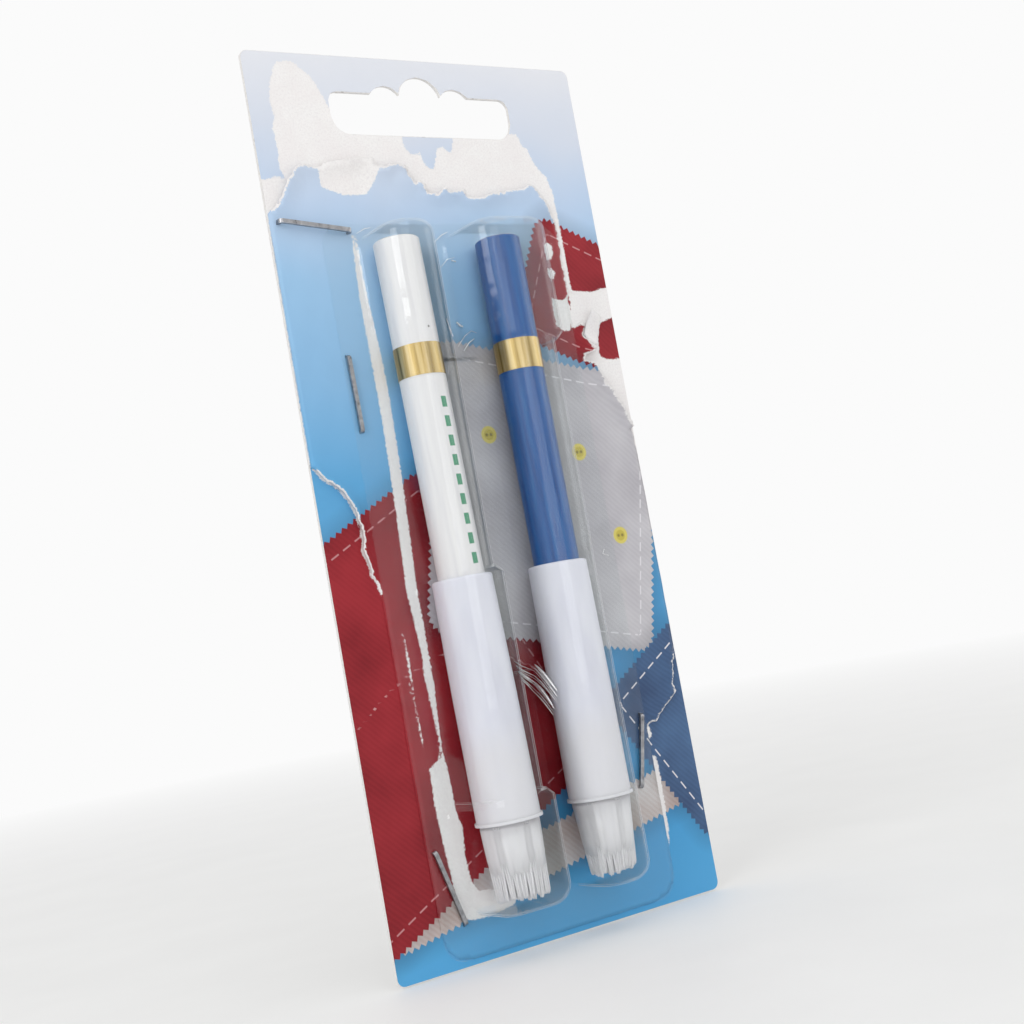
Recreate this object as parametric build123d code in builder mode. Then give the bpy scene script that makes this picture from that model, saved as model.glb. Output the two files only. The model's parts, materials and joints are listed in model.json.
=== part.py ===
# Carded blister pack of two chalk pencils, each with a push-on brush cap.
#
# Millimetres. X runs to the right, Z up, and the printed front faces -Y.
# The origin is where a shop peg carries the pack: the top of the middle hump of the hang slot,
# halfway through the thickness of the card. Heights on the card are measured up from its lower
# edge, and heights on a pencil up from the tips of its brush.
#
# The pack has been torn open and stapled shut again, so the printed face of the card is a
# separate sheet, held with the blister by four office staples.

import os
from math import cos, radians, sin, tan

from build123d import *

# Card
card_w = 65.0
card_h = 150.0
card_t = 0.6
card_corner = 1.3

# Hang slot, with one high hump in the middle and a low one on each side
slot_w = 35.8
slot_h = 7.3
slot_drop = 6.3
slot_top_corner = 1.8
slot_low_corner = 3.3
hump_r = 4.2
hump_rise = 3.3
side_hump_r = 3.4
side_hump_rise = 1.45
side_hump_x = 6.9

# Pencil: two wood halves glued round a chalk core
barrel_r = 3.85
core_r = 1.75
glue = 0.02
pencil_end = 108.0
end_chamfer = 0.25
cone_len = 18.0
core_blunt_r = 0.35
foil_t = 0.08
foil_gap = 0.01
foil_w = 5.2
foil_low = 84.8

# Cap: a moulded sleeve, and a plug with a thin rim that carries the bristles
bristle_len = 12.0
slice_t = 0.6
rim_t = 0.5
rim_out = 0.3
sleeve_len = 38.7
sleeve_low_r = 5.2
sleeve_mid_in = 0.04
sleeve_mouth_in = 0.25
mouth_round = 0.35
mouth_cut_share = 0.3
bore_gap = 0.06
seat_in = 0.6
seat_gap = 0.05
plug_wall = 1.0
plug_len = 5.0
room_below_tip = 1.4

# Bristles: three-sided strands on a triangular grid, drawn together in threes at their tips
bristle_pitch = 0.7
bristle_root = 0.58
bristle_tip = 0.42
bristle_embed = 0.3
bristle_ragged = 0.9
tuft_reach_pitches = 6.3
tuft_margin = 0.37
group_pull_share = 0.86
tuft_taper_shares = {"white": 0.90, "blue": 0.80}

# Places of the pencils: across the card at the rim of the cap, and how far the end leans aside
pair_x = -2.225
pencil_pitch = 18.15
white_lean = -1.0
blue_lean = 0.75
lie_gap = 0.12
slide_travel = 1.0

# Clear blister: one sheet of film with a flange and two stepped pockets. Each channel has nearly
# straight sides and a round front, and a wide chamber at one end takes a brush. The blue pencil
# lies the wrong way round: its cap squeezes into the channel that was made for a barrel.
film = 0.25
flange_low = 1.0
flange_left_margin = 5.0
flange_right_margin = 8.85
flange_low_margin = 6.5
flange_top_margin = 2.1
flange_corner = 4.0
draft_deg = 2.0
cap_side_gap = 0.45
cap_front_gap = 0.38
squeezed_side_gap = 0.3
squeezed_front_gap = 0.28
barrel_side_gap = 1.1
barrel_front_gap = 2.78
chamber_side_gap = 1.9
chamber_front_gap = 0.58
chamber_front_r = 4.3
tip_room = 1.2
end_room = 1.0
white_chamber_above_rim = 3.4
white_shoulder_above_cap = 0.9
blue_shoulder_above_cap = 2.5
blue_chamber_h = 20.7
low_end_r = 3.0
high_end_r = 2.0
shoulder_cut = 0.9
flat_front = 0.35
bury = 6.0
foot_bend = 0.5
foot_corner = 3.0
foot_lap = 0.3
web_up = 36.5
web_down = 21.7
web_depth = 2.4
web_lap = 2.1
web_front_r = 1.5
cap_lean_share = 0.1
barrel_lean_share = 0.7

# Torn printed face: it came away under the whole flange, and beyond it along this ragged line.
# The points are shares of the width and height of the card, from its lower left corner.
face_t = 0.15
tear_shares = [
    (0.004, 0.542), (0.055, 0.519), (0.090, 0.501), (0.106, 0.479), (0.102, 0.451), (0.114, 0.430),
    (0.138, 0.404), (0.200, 0.350), (0.800, 0.170), (0.860, 0.189), (0.874, 0.201), (0.909, 0.214),
    (0.951, 0.225), (0.969, 0.233), (0.968, 0.247), (0.981, 0.275), (0.997, 0.300), (0.997, 0.560),
    (0.978, 0.567), (0.938, 0.605), (0.914, 0.626), (0.911, 0.697), (0.877, 0.719), (0.880, 0.823),
    (0.792, 0.841), (0.731, 0.833), (0.662, 0.845), (0.592, 0.831), (0.523, 0.841), (0.451, 0.850),
    (0.431, 0.871), (0.332, 0.873), (0.318, 0.843), (0.302, 0.837), (0.198, 0.841), (0.148, 0.865),
    (0.119, 0.872), (0.092, 0.861), (0.046, 0.835), (0.023, 0.824), (0.004, 0.811),
]

# Staples, a common office size. Each is placed by the middle of its crown, from the nearest edges
# of the flange, and turned from level.
crown_w = 12.9
wire_w = 0.7
wire_t = 0.5
leg_len = 6.0
bend_r = 0.45
leg_play = 0.08
crown_gap = 0.02
top_left_out = 1.13
top_left_down = 0.5
top_left_turn_deg = -7.4
top_left_lift = 0.7
left_in = 1.1
left_up_share = 0.764
left_turn_deg = -89.1
lower_left_in = 2.77
lower_left_up = 11.6
lower_left_turn_deg = -74.6
right_in = 2.3
right_up = 25.55
right_turn_deg = 76.9

overrun = 1.0

# Worked out from the sizes above
hang_height = card_h - slot_drop + hump_rise
board = Plane(origin=(0, 0, -hang_height), x_dir=(1, 0, 0), z_dir=(0, -1, 0))
card_back = board.offset(-card_t / 2)
card_front = board.offset(card_t / 2)
face_front = card_front.offset(face_t)
face_y = -card_t / 2 - face_t

sleeve_mid_r = sleeve_low_r - sleeve_mid_in
sleeve_mouth_r = sleeve_low_r - sleeve_mouth_in
rim_r = sleeve_low_r + rim_out
plug_r = sleeve_low_r - plug_wall
bore_r = barrel_r + bore_gap
seat_r = bore_r - seat_in
rim_low = bristle_len + slice_t
sleeve_low = rim_low + rim_t
sleeve_high = sleeve_low + sleeve_len
plug_high = sleeve_low + plug_len
tip_at = plug_high + room_below_tip
shoulder_at = tip_at + cone_len
cone_slope = barrel_r / cone_len
seat_at = tip_at + seat_r / cone_slope - seat_gap

white_x = pair_x - pencil_pitch / 2
blue_x = pair_x + pencil_pitch / 2
pocket_low = flange_low + flange_low_margin
tips_at = pocket_low + tip_room
pocket_high = tips_at + pencil_end + slide_travel + end_room
cap_half = rim_r + cap_side_gap
cap_depth = lie_gap + 2 * rim_r + cap_front_gap
squeezed_half = rim_r + squeezed_side_gap
squeezed_depth = lie_gap + 2 * rim_r + squeezed_front_gap
barrel_half = barrel_r + barrel_side_gap
barrel_depth = lie_gap + 2 * barrel_r + barrel_front_gap
chamber_half = rim_r + chamber_side_gap
chamber_depth = lie_gap + 2 * rim_r + chamber_front_gap
flange_left = white_x - chamber_half - flange_left_margin
flange_right = blue_x + chamber_half + flange_right_margin
flange_high = pocket_high + flange_top_margin
flange_w = flange_right - flange_left
flange_h = flange_high - flange_low
flange_middle = ((flange_left + flange_right) / 2, (flange_low + flange_high) / 2)

# A pencil lies on the printed face: its rim near the lower end, the edge of its barrel at the top
rise = pencil_end - rim_low
rim_drop_slope = (rim_r - barrel_r) / rise


def pencil_seat(x, lean):
    """Frame of a pencil, with its origin at the brush tips and Z up its axis."""
    along = Vector(lean / rise, rim_drop_slope, 1).normalized()
    at_rim = Vector(x, face_y - lie_gap - rim_r, tips_at + rim_low - hang_height)
    return Plane(origin=at_rim - along * rim_low, x_dir=(1, 0, 0), z_dir=along)


seats = {"white": pencil_seat(white_x, white_lean), "blue": pencil_seat(blue_x, blue_lean)}

# Middle of the crown across and up the card, turn from level, and lift off the film
staples = {
    "top_left_staple": (flange_left - top_left_out, flange_high - top_left_down,
                        top_left_turn_deg, top_left_lift),
    "left_staple": (flange_left + left_in, flange_low + left_up_share * flange_h,
                    left_turn_deg, 0),
    "lower_left_staple": (flange_left + lower_left_in, flange_low + lower_left_up,
                          lower_left_turn_deg, 0),
    "right_staple": (flange_right - right_in, flange_low + right_up, right_turn_deg, 0),
}
leg_reach = (crown_w - wire_t) / 2


def cut_leg_holes():
    """Holes for all staple legs, in a sketch on the card."""
    for x, up, turn, _ in staples.values():
        for side in (-1, 1):
            along = side * leg_reach
            with Locations((x + along * cos(radians(turn)), up + along * sin(radians(turn)))):
                Rectangle(wire_t + 2 * leg_play, wire_w + 2 * leg_play, rotation=turn,
                          mode=Mode.SUBTRACT)


# Card
def make_card():
    slot_top = card_h - slot_drop
    slot_mid = slot_top - slot_h / 2
    hump_mid = slot_top + hump_rise - hump_r
    side_hump_mid = slot_top + side_hump_rise - side_hump_r
    with BuildPart() as backing_card:
        with BuildSketch(card_back):
            with Locations((0, card_h / 2)):
                RectangleRounded(card_w, card_h, card_corner)
            with BuildSketch(Plane.XY, mode=Mode.SUBTRACT):
                with Locations((0, slot_mid)):
                    Rectangle(slot_w, slot_h)
                fillet(vertices().group_by(Axis.Y)[-1], slot_top_corner)
                fillet(vertices().group_by(Axis.Y)[0], slot_low_corner)
                with Locations((0, hump_mid)):
                    Circle(hump_r)
                with Locations((-side_hump_x, side_hump_mid), (side_hump_x, side_hump_mid)):
                    Circle(side_hump_r)
            cut_leg_holes()
        extrude(amount=card_t)
    return backing_card.part


# Printed face
def make_torn_face():
    tear = [((across - 0.5) * card_w, up * card_h) for across, up in tear_shares]
    with BuildPart() as torn_printed_face:
        with BuildSketch(card_front):
            with BuildLine():
                Polyline(*tear, close=True)
            make_face()
            with Locations(flange_middle):
                RectangleRounded(flange_w, flange_h, flange_corner)
            cut_leg_holes()
        extrude(amount=face_t)
    return torn_printed_face.part


# Blister
def pocket_steps():
    """Steps of the pockets: middle, half width, depth, low, high, front radius, how they end."""
    white_chamber_high = tips_at + sleeve_low + white_chamber_above_rim
    white_shoulder = tips_at + sleeve_high + white_shoulder_above_cap
    blue_shoulder = tips_at + sleeve_high + blue_shoulder_above_cap
    blue_chamber_low = pocket_high - blue_chamber_h
    cap_mid = white_x + white_lean * cap_lean_share
    barrel_mid = white_x + white_lean * barrel_lean_share
    return [
        (white_x, chamber_half, chamber_depth, pocket_low, white_chamber_high, chamber_front_r,
         "round", "slope"),
        (cap_mid, cap_half, cap_depth, pocket_low + bury, white_shoulder, 0, "buried", "slope"),
        (barrel_mid, barrel_half, barrel_depth, white_shoulder - bury, pocket_high, 0,
         "buried", "round"),
        (blue_x, squeezed_half, squeezed_depth, pocket_low, blue_shoulder + bury, 0,
         "round", "buried"),
        (blue_x, cap_half, cap_depth, blue_shoulder, blue_chamber_low + bury, 0,
         "slope", "buried"),
        (blue_x, chamber_half, chamber_depth, blue_chamber_low, pocket_high, chamber_front_r,
         "slope", "round"),
    ]


def step_block(middle, half, depth, low, high, front_r, low_end, high_end, grow):
    """One step of a pocket, grown by the film for its outer face; front radius 0 is a round front."""
    wide = half + grow
    far = depth + grow
    narrow = wide - far * tan(radians(draft_deg))
    nose_r = front_r + grow if front_r else narrow - flat_front
    with BuildPart() as step:
        with BuildSketch(Plane(origin=(middle, face_y, low - grow - hang_height))):
            with BuildLine():
                Polyline((-wide, 0), (-narrow, -far), (narrow, -far), (wide, 0), close=True)
            make_face()
            fillet(vertices().group_by(Axis.Y)[0], nose_r)
        extrude(amount=high - low + 2 * grow)
        for end, way, end_r in ((0, low_end, low_end_r), (-1, high_end, high_end_r)):
            rim = faces().sort_by(Axis.Z)[end].edges().sort_by(Axis.Y)[:-1]
            if way == "round":
                fillet(rim, end_r + grow)
            if way == "slope":
                chamfer(rim, shoulder_cut + grow)
    return step.part


def foot_block(middle, half, low, high, grow):
    """The sloping bend at the foot of a step."""
    bend = foot_bend + grow
    with BuildPart() as foot:
        with BuildSketch(face_front):
            with Locations((middle, (low + high) / 2)):
                RectangleRounded(2 * (half + grow + bend), high - low + 2 * (grow + bend),
                                 foot_corner + grow + bend)
        extrude(amount=bend + foot_lap, taper=45)
    return foot.part


def pocket_blocks(grow):
    """All the steps, as solids from the front face of the printed sheet."""
    blocks = []
    for step in pocket_steps():
        middle, half, _, low, high = step[:5]
        blocks.append(step_block(*step, grow))
        blocks.append(foot_block(middle, half, low, high, grow))
    web_half = pencil_pitch / 2 - cap_half + web_lap
    blocks.append(step_block(pair_x, web_half, web_depth, pocket_low + web_up,
                             pocket_high - web_down, web_front_r, "slope", "slope", grow))
    return blocks


def make_blister():
    with BuildPart() as blister:
        with BuildSketch(face_front):
            with Locations(flange_middle):
                RectangleRounded(flange_w, flange_h, flange_corner)
            cut_leg_holes()
        extrude(amount=film)
        add(pocket_blocks(film))
        add(pocket_blocks(0), mode=Mode.SUBTRACT)
    return blister.part


# Staples
def make_staple(name):
    x, up, turn, lift = staples[name]
    across = Vector(cos(radians(turn)), 0, sin(radians(turn)))
    frame = Plane(origin=(x, 0, up - hang_height), x_dir=across, z_dir=(-across.Z, 0, across.X))
    crown_y = face_y - film - crown_gap - wire_t / 2 - lift
    clinch_y = card_t / 2 + crown_gap + wire_t / 2
    clinch_in = leg_reach - (leg_len - (clinch_y - crown_y))
    points = [(-clinch_in, clinch_y), (-leg_reach, clinch_y), (-leg_reach, crown_y),
              (leg_reach, crown_y), (leg_reach, clinch_y), (clinch_in, clinch_y)]
    places = [frame.from_local_coords((a, b, 0)) for a, b in points]
    with BuildPart() as staple:
        with BuildLine() as wire:
            FilletPolyline(*places, radius=bend_r)
        with BuildSketch(Plane(origin=places[0], x_dir=frame.z_dir, z_dir=-frame.x_dir)):
            Rectangle(wire_w, wire_t)
        sweep(path=wire.wire())
    return staple.part


# Pencil
def make_wood_half(start):
    """Half of the wood, with the sharpened cone at its lower end."""
    inner = core_r + glue
    with BuildPart() as wood:
        with BuildSketch(Plane.XZ):
            with BuildLine():
                Polyline((inner, tip_at + inner / cone_slope), (barrel_r, shoulder_at),
                         (barrel_r, pencil_end - end_chamfer), (barrel_r - end_chamfer, pencil_end),
                         (inner, pencil_end), close=True)
            make_face()
        revolve(axis=Axis.Z, revolution_arc=180)
    return wood.part.rotate(Axis.Z, start)


def make_chalk_core():
    with BuildPart() as core:
        with BuildSketch(Plane.XZ):
            with BuildLine():
                Polyline((0, tip_at + core_blunt_r / cone_slope),
                         (core_blunt_r, tip_at + core_blunt_r / cone_slope),
                         (core_r, tip_at + core_r / cone_slope), (core_r, pencil_end),
                         (0, pencil_end), close=True)
            make_face()
        revolve(axis=Axis.Z)
    return core.part


def make_foil_band():
    with BuildPart() as band:
        with BuildSketch(Plane.XY.offset(foil_low)):
            Circle(barrel_r + foil_gap + foil_t)
            Circle(barrel_r + foil_gap, mode=Mode.SUBTRACT)
        extrude(amount=foil_w)
    return band.part


# Cap
def make_sleeve():
    """Sleeve that swells a little to its rim, with a step inside that the cone sits on."""
    socket_r = plug_r + glue
    socket_high = plug_high + glue
    mid = (sleeve_low + sleeve_high) / 2
    cut = mouth_round * mouth_cut_share
    with BuildPart() as sleeve:
        with BuildSketch(Plane.XZ):
            with BuildLine():
                Polyline((sleeve_low_r, sleeve_low), (sleeve_mid_r, mid),
                         (sleeve_mouth_r, sleeve_high - mouth_round),
                         (sleeve_mouth_r - cut, sleeve_high - cut),
                         (sleeve_mouth_r - mouth_round, sleeve_high), (bore_r, sleeve_high),
                         (bore_r, seat_at), (seat_r, seat_at), (seat_r, socket_high),
                         (socket_r, socket_high), (socket_r, sleeve_low), close=True)
            make_face()
        revolve(axis=Axis.Z)
    return sleeve.part


def make_brush_plug():
    with BuildPart() as plug:
        with BuildSketch(Plane.XY.offset(rim_low)):
            Circle(rim_r)
        extrude(amount=rim_t)
        with BuildSketch(Plane.XY.offset(sleeve_low)):
            Circle(plug_r)
        extrude(amount=plug_len)
    return plug.part


def triangle(middle, side):
    """Corners of a level triangle of one side length."""
    reach = side / (2 * cos(radians(30)))
    return [middle + Vector(cos(radians(a)), sin(radians(a)), 0) * reach for a in (90, 210, 330)]


def make_strand(root, tip):
    low = triangle(tip, bristle_tip)
    high = triangle(root, bristle_root)
    outlines = [low, high]
    for a, b in ((0, 1), (1, 2), (2, 0)):
        outlines.append([low[a], low[b], high[b], high[a]])
    return Solid(Shell([Face(Wire.make_polygon(outline)) for outline in outlines]))


def strand_places():
    """Grid places of the strands, each with the middle of the group of three that it joins."""
    one = Vector(1, 0)
    other = Vector(cos(radians(60)), sin(radians(60)))
    rings = range(-int(tuft_reach_pitches) - 1, int(tuft_reach_pitches) + 2)
    places = []
    for i in rings:
        for j in rings:
            here = one * i + other * j
            if here.length > tuft_reach_pitches:
                continue
            phase = (i - j) % 3
            first_i = i - 1 if phase == 1 else i
            first_j = j - 1 if phase == 2 else j
            group = one * (first_i + 1 / 3) + other * (first_j + 1 / 3)
            places.append((i, j, here * bristle_pitch, group * bristle_pitch))
    return places


def make_bristles(taper):
    """Strands fused to a slice of their backing; the tuft narrows towards its ragged tips."""
    strands = []
    for i, j, here, group in strand_places():
        tip = (group + (here - group) * group_pull_share) * taper
        short = bristle_ragged * ((3 * i + 5 * j) % 7) / 7
        root_at = Vector(here.X, here.Y, bristle_len + bristle_embed)
        strands.append(make_strand(root_at, Vector(tip.X, tip.Y, short)))
    with BuildPart() as bristles:
        with BuildSketch(Plane.XY.offset(bristle_len)):
            Circle(tuft_reach_pitches * bristle_pitch + tuft_margin)
        extrude(amount=slice_t)
        add(strands)
    return bristles.part


def save(part, name):
    part.label = name
    export_step(part, f"parts/{name}.step")


os.makedirs("parts", exist_ok=True)
save(make_card(), "backing_card")
save(make_torn_face(), "torn_printed_face")
save(make_blister(), "blister")
for staple_name in staples:
    save(make_staple(staple_name), staple_name)

pencil_pieces = {
    "front_wood_half": make_wood_half(180),
    "back_wood_half": make_wood_half(0),
    "chalk_core": make_chalk_core(),
    "foil_band": make_foil_band(),
    "cap_sleeve": make_sleeve(),
    "brush_plug": make_brush_plug(),
}
for colour, seat in seats.items():
    for piece_name, piece in pencil_pieces.items():
        save(piece.moved(seat.location), f"{colour}_{piece_name}")
    save(make_bristles(tuft_taper_shares[colour]).moved(seat.location), f"{colour}_bristles")
    axis = seat.z_dir
    print(f"{colour} axis {axis.X:.6f} {axis.Y:.6f} {axis.Z:.6f}, through "
          f"{seat.origin.X:.4f} {seat.origin.Y:.4f} {seat.origin.Z:.4f}")
print(f"hang height {hang_height:.3f}")
print(f"strands on each brush: {len(strand_places())}")
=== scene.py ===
# %% [markdown]
# # Two chalk pencils on a torn blister card
# The object is a shop card that carries two chalk pencils under a pocket of clear film. Someone
# tore it open and stapled it shut again, so much of its look is torn paper. The solids come from
# the CAD frame, which gives every size; this file adds what the eye needs: print, paper fibres,
# film, paint, foil, moulded plastic and the fine strands of the brushes.

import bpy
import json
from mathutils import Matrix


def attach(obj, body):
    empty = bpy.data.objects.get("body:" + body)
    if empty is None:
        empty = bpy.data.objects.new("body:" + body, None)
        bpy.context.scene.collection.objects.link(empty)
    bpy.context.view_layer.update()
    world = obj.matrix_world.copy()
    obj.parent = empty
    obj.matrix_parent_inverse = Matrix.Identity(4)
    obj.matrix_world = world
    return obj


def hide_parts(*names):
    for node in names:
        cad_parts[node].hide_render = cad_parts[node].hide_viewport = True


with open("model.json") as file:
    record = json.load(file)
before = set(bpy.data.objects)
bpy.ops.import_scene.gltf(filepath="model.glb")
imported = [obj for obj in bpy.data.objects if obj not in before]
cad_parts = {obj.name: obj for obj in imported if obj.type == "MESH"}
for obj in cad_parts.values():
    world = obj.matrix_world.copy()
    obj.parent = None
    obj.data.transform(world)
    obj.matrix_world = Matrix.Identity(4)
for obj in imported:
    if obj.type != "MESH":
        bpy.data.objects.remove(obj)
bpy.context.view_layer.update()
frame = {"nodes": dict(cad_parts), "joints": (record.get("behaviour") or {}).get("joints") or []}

# %% [markdown]
# ## Units and small helpers
# The card is measured in millimetres across (x) and up from its lower edge, as one would with a
# ruler laid on it. Blender works in metres with the origin at the hump of the hang slot, so one
# function turns card places into scene places.

# %% Places on the card
import json
import math
import random
from functools import partial

import bpy
import numpy as np
from mathutils import Matrix, Vector
from mathutils.geometry import delaunay_2d_cdt

MM = 0.001
HANG_HEIGHT = 147.0
CARD_W, CARD_H = 65.0, 150.0
CARD_FRONT = 0.3


def on_card(x, up, proud=0.0):
    """Scene place of a point on the card's front, with how far it stands proud, in millimetres."""
    return Vector((x * MM, -(CARD_FRONT + proud) * MM, (up - HANG_HEIGHT) * MM))


print("card corner:", tuple(round(v, 4) for v in on_card(-CARD_W / 2, 0)))

# %% [markdown]
# ## Colours and nodes
# Colours are written as sRGB hex, the way a paint chart gives them, and one function turns them
# into the linear numbers that shaders add up. A second function adds a shader node with its
# settings and its links. Each material gets it under the short name add, bound to its own node
# tree, and so reads as a list of steps.

# %% Colour and node helpers
def linear(hex_colour):
    """Linear RGBA of an sRGB hex colour."""
    parts = [int(hex_colour[i:i + 2], 16) / 255 for i in (1, 3, 5)]
    return [c / 12.92 if c <= 0.04045 else ((c + 0.055) / 1.055) ** 2.4 for c in parts] + [1.0]


def add_node(tree, kind, *inputs, output=None, stops=(), **settings):
    """Adds one shader node and gives back one of its outputs, the first if none is named. The
    mode of a node follows its kind after a colon. Inputs come in the order that the node shows,
    or by name like its properties, with _ for a space. An input takes a number, a hex colour or
    another node's output; a colour ramp takes stops."""
    kind, _, mode = kind.partition(":")
    node = tree.nodes.new("ShaderNode" + kind)
    if mode:
        setattr(node, "data_type" if kind == "Mix" else "operation", mode)
    feeds = list(zip([socket for socket in node.inputs if socket.enabled], inputs))
    for key, value in settings.items():
        if hasattr(node, key):
            setattr(node, key, value)
        else:
            feeds.append((node.inputs[key.replace("_", " ")], value))
    for socket, value in feeds:
        if isinstance(value, bpy.types.NodeSocket):
            tree.links.new(value, socket)
        else:
            socket.default_value = linear(value) if isinstance(value, str) else value
    if stops:
        elements = node.color_ramp.elements
        elements.remove(elements[-1])
        elements[0].position, elements[0].color = stops[0][0], linear(stops[0][1])
        for place, colour in stops[1:]:
            elements.new(place).color = linear(colour)
    shown = [socket for socket in node.outputs if output in (None, socket.name) and socket.enabled]
    return shown[0] if shown else None


def new_material(name):
    """An empty material, and the function that adds a node to it."""
    material = bpy.data.materials.new(name)
    material.use_nodes = True
    material.node_tree.nodes.clear()
    return material, partial(add_node, material.node_tree)


def solid_surface(add, colour, rough, relief, strength, depth_mm, **settings):
    """Ends a material with a solid surface and its fine relief."""
    bump = add("Bump", Height=relief, Strength=strength, Distance=depth_mm * MM)
    add("OutputMaterial", add("BsdfPrincipled", colour, Roughness=rough, Normal=bump, **settings))


print("mid grey in linear light:", round(linear("#808080")[0], 3))

# %% [markdown]
# ## Outlines on the card
# The torn paper follows outlines that were measured on a picture of the object. The printed
# design is plain sewing-box decoration: overlapping cloth swatches with pinked (zigzag) edges on
# a blue ground. Each swatch is a turned rectangle, with its corners rounded in code by cutting.

# %% Line helpers
def cut_corners(points, times=3):
    """Rounds a closed line by cutting its corners a few times."""
    line = np.array(points, float)
    for _ in range(times):
        ahead = np.roll(line, -1, axis=0)
        line = np.stack([0.75 * line + 0.25 * ahead, 0.25 * line + 0.75 * ahead], 1).reshape(-1, 2)
    return line


def walk(points, step, closed=True):
    """The same line with a point about every step millimetres."""
    line = np.array(points, float)
    if closed:
        line = np.vstack([line, line[:1]])
    parts = [line[:1]]
    for a, b in zip(line[:-1], line[1:]):
        count = max(1, int(round(np.hypot(*(b - a)) / step)))
        share = np.arange(1, count + 1)[:, None] / count
        parts.append(a + (b - a) * share)
    walked = np.vstack(parts)
    return walked[:-1] if closed else walked


def inside(places, line):
    """Which places lie inside a closed line."""
    x, y = places[:, :1], places[:, 1:]
    a, b = line, np.roll(line, -1, axis=0)
    spans = (a[:, 1] > y) != (b[:, 1] > y)
    rise = np.where(b[:, 1] == a[:, 1], 1e-9, b[:, 1] - a[:, 1])
    crossing = a[:, 0] + (y - a[:, 1]) * (b[:, 0] - a[:, 0]) / rise
    return (spans & (x < crossing)).sum(1) % 2 == 1


def measure(places, line, closed=True):
    """Distance to a line (negative inside a closed one), and the way along it to the nearest
    place."""
    a, b = (line, np.roll(line, -1, axis=0)) if closed else (line[:-1], line[1:])
    run = b - a
    length = np.hypot(run[:, 0], run[:, 1]) + 1e-9
    start = np.concatenate([[0], np.cumsum(length)[:-1]])
    best = np.full(len(places), 1e9)
    along = np.zeros(len(places))
    for k in range(len(a)):
        offset = places - a[k]
        share = np.clip(offset @ run[k] / length[k] ** 2, 0, 1)
        gap = np.hypot(*(offset - share[:, None] * run[k]).T)
        nearer = gap < best
        best = np.where(nearer, gap, best)
        along = np.where(nearer, start[k] + share * length[k], along)
    if closed:
        best = np.where(inside(places, line), -best, best)
    return best, along


unit_square = np.array([[0, 0], [1, 0], [1, 1], [0, 1.0]])
print("square test:", measure(np.array([[0.5, 0.5]]), unit_square))

# %% Outlines of the sheets, in millimetres across and up
CARD_CORNER = 1.3
card_outline = []
for cx, cy, start in ((1, 1, 0), (-1, 1, 90), (-1, -1, 180), (1, -1, 270)):
    mid = (cx * (CARD_W / 2 - CARD_CORNER), CARD_H / 2 + cy * (CARD_H / 2 - CARD_CORNER))
    for turn in range(start, start + 91, 15):
        card_outline.append((mid[0] + CARD_CORNER * math.cos(math.radians(turn)),
                             mid[1] + CARD_CORNER * math.sin(math.radians(turn))))

# The printed ply that came away with the film: its cut edges, its torn edges, and the flange
ply_points = [
    (-32.35, 81.2), (-31.4, 80.2), (-30.2, 78.9), (-28.9, 77.8), (-27.6, 77.0), (-26.8, 75.4),
    (-26.0, 73.6), (-25.7, 71.2), (-25.6, 69.4), (-25.9, 67.4), (-25.3, 65.6), (-25.0, 63.4),
    (-24.3, 61.6), (-23.9, 60.0), (-23.8, 45.0), (-23.9, 30.0), (-23.8, 15.0), (-23.6, 6.0),
    (-22.9, 3.2), (-21.2, 1.6), (-18.5, 1.0), (0.0, 0.9), (18.0, 1.0), (21.2, 1.8), (22.8, 3.6),
    (23.2, 6.0), (23.2, 18.0), (23.2, 29.2), (23.4, 30.4), (24.3, 31.0), (25.2, 30.9),
    (26.1, 32.0), (27.3, 33.0), (28.6, 33.8), (29.7, 34.4), (30.4, 35.4), (30.3, 36.9),
    (30.8, 38.4), (31.3, 40.6), (32.35, 43.5), (32.35, 60.0), (32.35, 78.0), (32.0, 82.0),
    (31.3, 84.8), (30.2, 87.3), (29.2, 89.2), (28.5, 90.6), (27.1, 90.9), (27.3, 92.6),
    (26.7, 94.0), (26.4, 95.0), (24.4, 95.8), (24.6, 96.6), (26.6, 97.2), (27.4, 98.2),
    (26.3, 98.8), (25.2, 100.2), (25.9, 102.2), (25.4, 102.9), (24.6, 102.4), (23.4, 102.1),
    (23.2, 104.6), (23.0, 107.0), (23.7, 108.4), (23.8, 111.0), (23.6, 114.0), (23.9, 117.5),
    (23.8, 121.0), (22.9, 123.2), (21.9, 124.9), (20.7, 125.7), (20.2, 127.4), (19.0, 127.9),
    (16.8, 127.2), (12.0, 126.4), (7.0, 125.4), (5.8, 125.6), (5.4, 127.0), (3.6, 126.8),
    (2.2, 126.5), (1.3, 127.2), (0.2, 126.1), (-2.3, 126.3), (-2.4, 127.8), (-3.4, 128.6),
    (-4.2, 127.9), (-5.6, 129.3), (-5.2, 131.0), (-8.2, 131.2), (-11.3, 130.8), (-11.6, 132.3),
    (-15.0, 132.0), (-19.0, 131.4), (-21.8, 130.6), (-23.2, 130.4), (-24.9, 130.9), (-26.5, 130.1),
    (-28.0, 128.4), (-29.3, 126.2), (-30.4, 124.2), (-32.35, 122.6)]

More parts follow.
